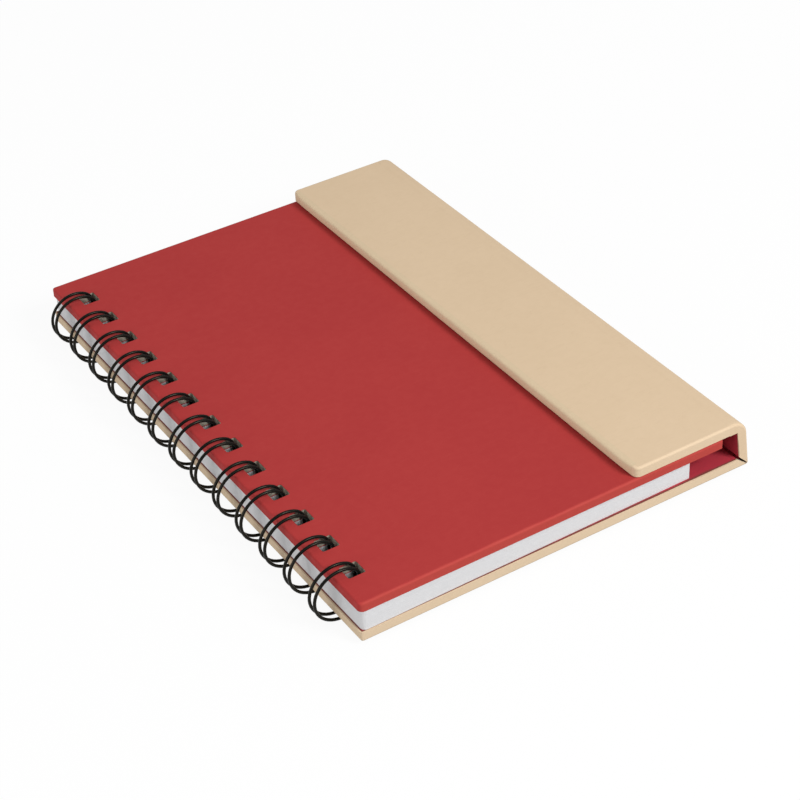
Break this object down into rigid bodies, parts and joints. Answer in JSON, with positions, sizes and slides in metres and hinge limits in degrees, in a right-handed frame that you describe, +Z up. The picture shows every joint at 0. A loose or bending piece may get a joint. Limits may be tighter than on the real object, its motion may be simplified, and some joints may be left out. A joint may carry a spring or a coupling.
{
  "type": "spiral notebook",
  "caption": "Wire-bound notebook with a hard case: a hinged fore-edge panel and flap fold over the separate front cover and hold it shut.",
  "frame": {"origin": "middle of the footprint, wire loops included, at the height of the surface that the book lies on", "axes": "+X from the wire spine to the fore-edge, +Y along the spine away from the viewer, +Z up through the front cover"},
  "size_m": [0.1321, 0.178, 0.017],
  "materials": {
    "red_cover_paper": "matt dyed cover paper",
    "red_lining_paper": "matt lining paper",
    "kraft_paper": "matt kraft cover paper",
    "greyboard": "raw greyboard",
    "page_paper": "white writing paper",
    "black_wire": "black nylon coating",
    "nickel_plate": "nickel plated"
  },
  "bodies": {
    "book": {"back_board": "greyboard", "back_wrap": "kraft_paper", "back_lining": "red_lining_paper", "page_block": "page_paper", "front_board": "greyboard", "front_wrap": "red_cover_paper", "front_lining": "red_lining_paper", "front_magnets": "nickel_plate", "twin_loop_wire": "black_wire"},
    "fore_edge_panel": {"fore_edge_board": "greyboard", "fore_edge_wrap": "kraft_paper", "fore_edge_lining": "red_lining_paper"},
    "flap": {"flap_board": "greyboard", "flap_wrap": "kraft_paper", "flap_lining": "red_lining_paper", "flap_magnets": "nickel_plate"}
  },
  "joints": [
    {"name": "fore_edge_hinge", "type": "hinge", "parent": "book", "child": "fore_edge_panel", "pos_m": [0.06578, 0, 0.00142], "axis": [0, 1, 0], "range_deg": [0, 97]},
    {"name": "flap_hinge", "type": "hinge", "parent": "fore_edge_panel", "child": "flap", "pos_m": [0.06303, 0, 0.01574], "axis": [0, 1, 0], "range_deg": [0, 180]}
  ]
}
